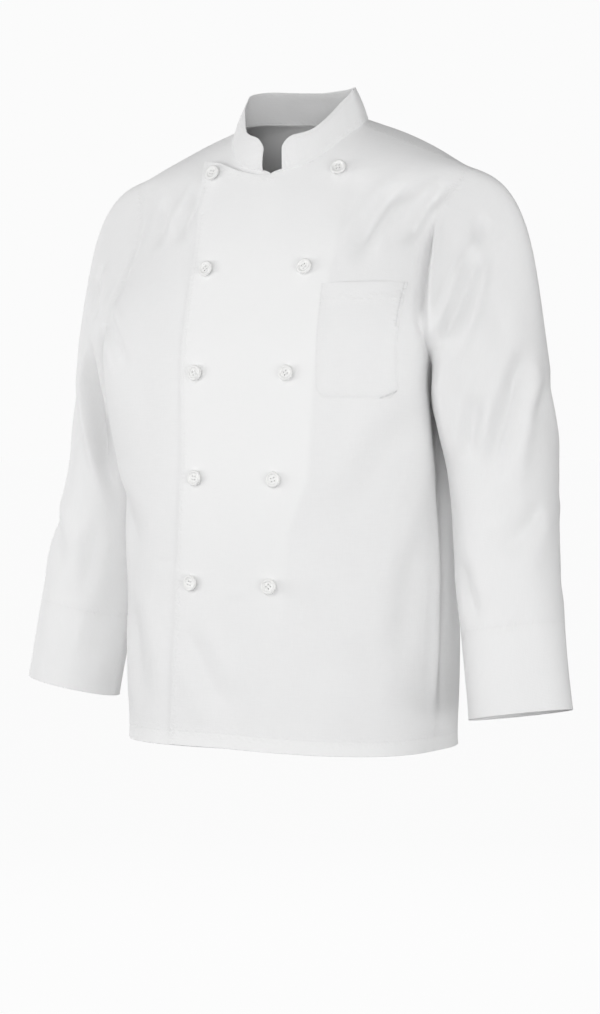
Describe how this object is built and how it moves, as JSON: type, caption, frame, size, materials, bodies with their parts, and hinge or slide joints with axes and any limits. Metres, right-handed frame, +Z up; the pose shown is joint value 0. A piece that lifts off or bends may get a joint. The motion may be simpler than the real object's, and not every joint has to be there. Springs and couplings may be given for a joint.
{
  "type": "chef jacket",
  "caption": "Double-breasted long-sleeved white chef jacket, worn shape with no wearer: stand collar, patch chest pocket, two columns of buttons, straight hem.",
  "frame": {"origin": "middle of the neck at the height of the two highest shoulder points, where the wearer's neck and shoulders carry the jacket", "axes": "+Z up, -Y the jacket's front, +X the wearer's left"},
  "size_m": [0.7624, 0.281, 0.7864],
  "materials": {
    "cotton": "white twill, plain weave side out, matt",
    "button_plastic": "white, satin"
  },
  "bodies": {
    "root": {"back": "cotton", "front_left": "cotton", "front_right": "cotton", "sleeve_left": "cotton", "sleeve_right": "cotton", "collar": "cotton", "pocket": "cotton", "button_1_left": "button_plastic", "button_1_right": "button_plastic", "button_2_left": "button_plastic", "button_2_right": "button_plastic", "button_3_left": "button_plastic", "button_3_right": "button_plastic", "button_4_left": "button_plastic", "button_4_right": "button_plastic", "button_5_left": "button_plastic", "button_5_right": "button_plastic"}
  },
  "joints": []
}
